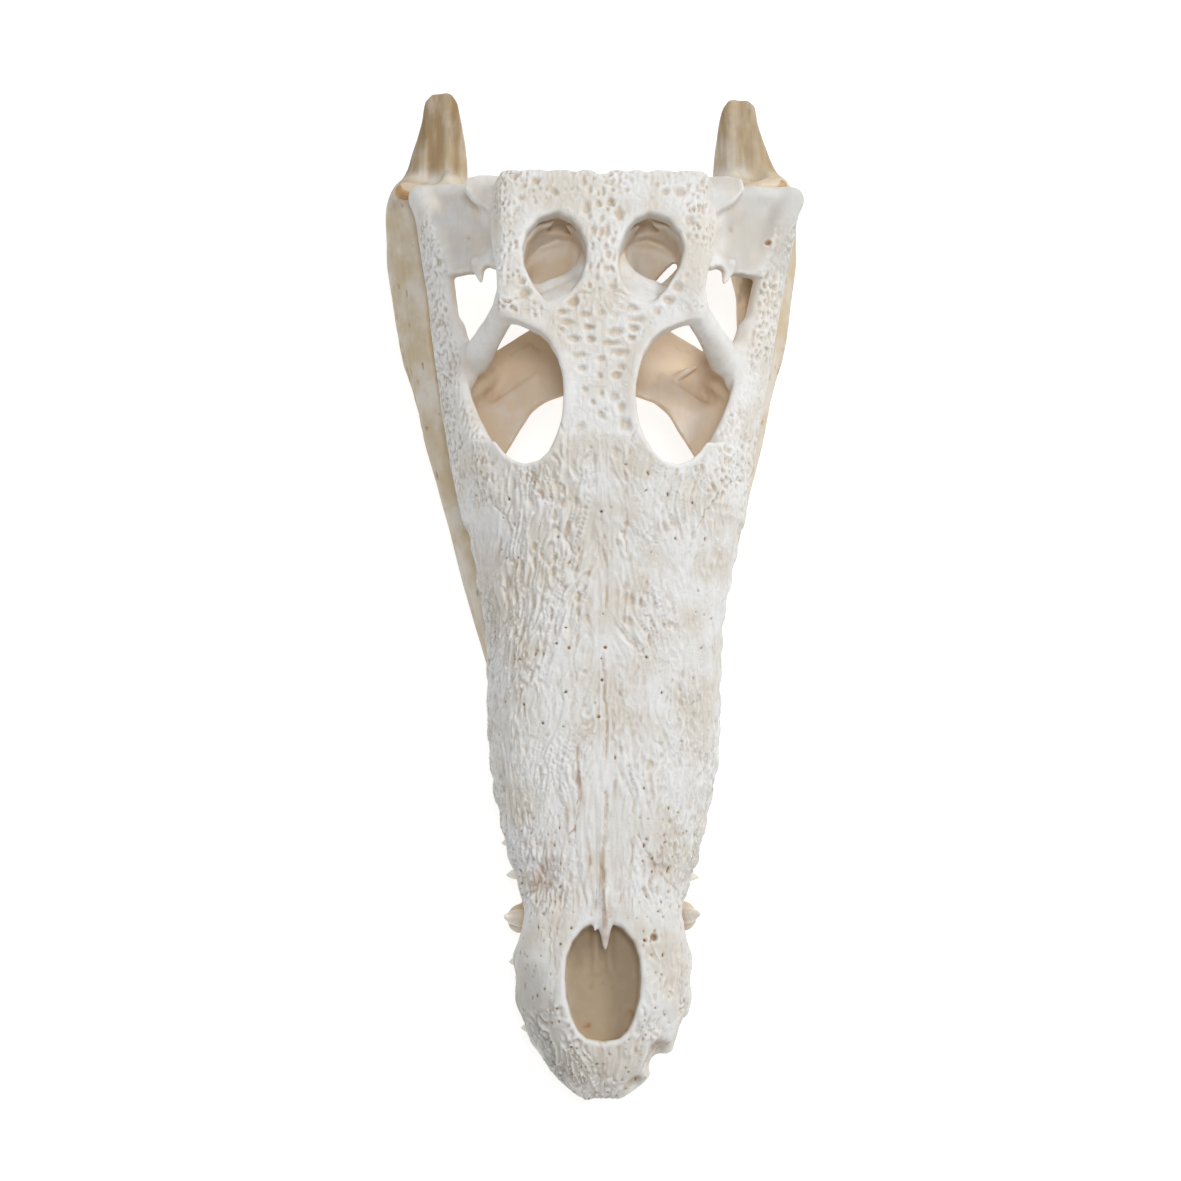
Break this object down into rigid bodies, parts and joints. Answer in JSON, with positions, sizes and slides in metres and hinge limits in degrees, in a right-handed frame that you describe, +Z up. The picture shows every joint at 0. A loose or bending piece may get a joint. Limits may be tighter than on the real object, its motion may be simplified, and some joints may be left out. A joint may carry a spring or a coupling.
{
  "type": "crocodile skull",
  "caption": "Life-size weathered crocodile skull: long pitted snout, open orbits and temporal windows, toothed jaws closed, rear spurs on the lower jaw.",
  "frame": {"origin": "on the floor, under the middle of the skull's bounding box", "axes": "+Y towards the rear of the skull (the snout points to -Y), +X towards the animal's left side, +Z up from the floor that the lower jaw lies on"},
  "size_m": [0.2238, 0.5296, 0.1222],
  "materials": {
    "bleached_bone": "matte",
    "cream_bone": "matte"
  },
  "bodies": {
    "root": {"cranium": "bleached_bone", "mandible_right": "cream_bone", "mandible_left": "cream_bone"}
  },
  "joints": []
}
